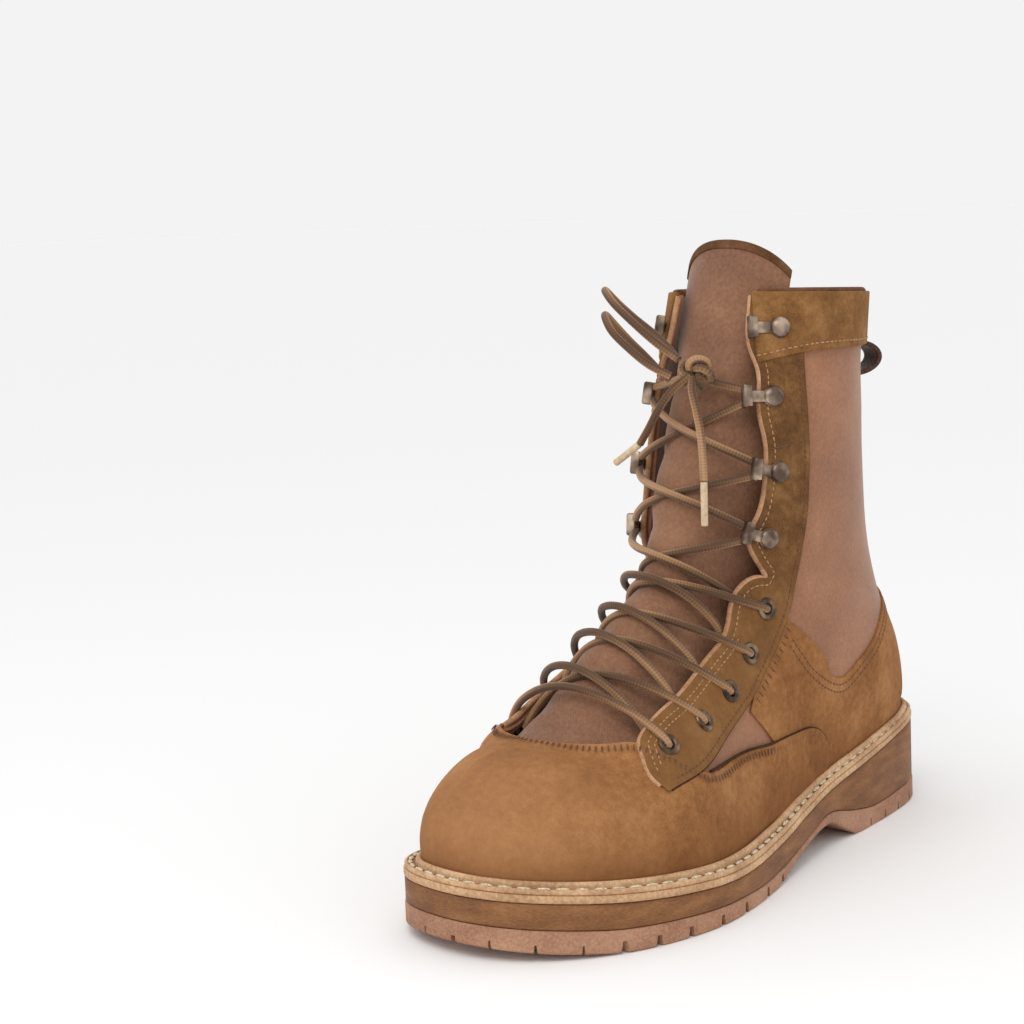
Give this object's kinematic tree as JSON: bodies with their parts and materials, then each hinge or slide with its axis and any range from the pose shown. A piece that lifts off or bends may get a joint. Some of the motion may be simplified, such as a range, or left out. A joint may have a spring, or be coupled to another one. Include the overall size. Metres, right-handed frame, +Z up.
{
  "type": "combat boot",
  "caption": "Lace-up combat boot for the left foot: hollow suede and woven upper, padded tongue, speed hooks, storm welt and layered lugged sole.",
  "frame": {"origin": "on the ground, below the middle of the outsole's box", "axes": "+Z up, toe towards -Y, heel towards +Y, outer (lateral) side of the left foot towards +X"},
  "size_m": [0.1186, 0.304, 0.2613],
  "materials": {
    "outsole_rubber": "matte pinkish-tan rubber",
    "midsole_leather": "dyed and sanded brown edge",
    "pale_welting": "pale tan, matte",
    "insole_leather": "plain, matte",
    "suede": "rough-out suede, matte",
    "nylon": "plain-woven nylon, slight sheen",
    "webbing": "dark woven tape",
    "hardware": "antique bronze plating",
    "lace": "round braided lace, two browns",
    "aglet": "pale plastic sleeve"
  },
  "bodies": {
    "root": {"outsole": "outsole_rubber", "midsole": "midsole_leather", "slip_sole": "pale_welting", "welt": "pale_welting", "insole": "insole_leather", "upper": "suede", "tongue": "nylon", "pull_loop": "webbing", "eyelet_lateral_1": "hardware", "eyelet_lateral_2": "hardware", "eyelet_lateral_3": "hardware", "eyelet_lateral_4": "hardware", "eyelet_lateral_5": "hardware", "eyelet_medial_1": "hardware", "eyelet_medial_2": "hardware", "eyelet_medial_3": "hardware", "eyelet_medial_4": "hardware", "eyelet_medial_5": "hardware", "hook_lateral_1": "hardware", "hook_lateral_2": "hardware", "hook_lateral_3": "hardware", "hook_lateral_4": "hardware", "hook_medial_1": "hardware", "hook_medial_2": "hardware", "hook_medial_3": "hardware", "hook_medial_4": "hardware", "lace_bar": "lace", "lace_crossing_1": "lace", "lace_crossing_2": "lace", "lace_crossing_3": "lace", "lace_crossing_4": "lace", "lace_crossing_5": "lace", "lace_crossing_6": "lace", "lace_crossing_7": "lace", "lace_crossing_8": "lace", "lace_knot": "lace", "lace_loop_1": "lace", "lace_loop_2": "lace", "lace_end_1": "lace", "lace_end_2": "lace", "aglet_1": "aglet", "aglet_2": "aglet"}
  },
  "joints": []
}
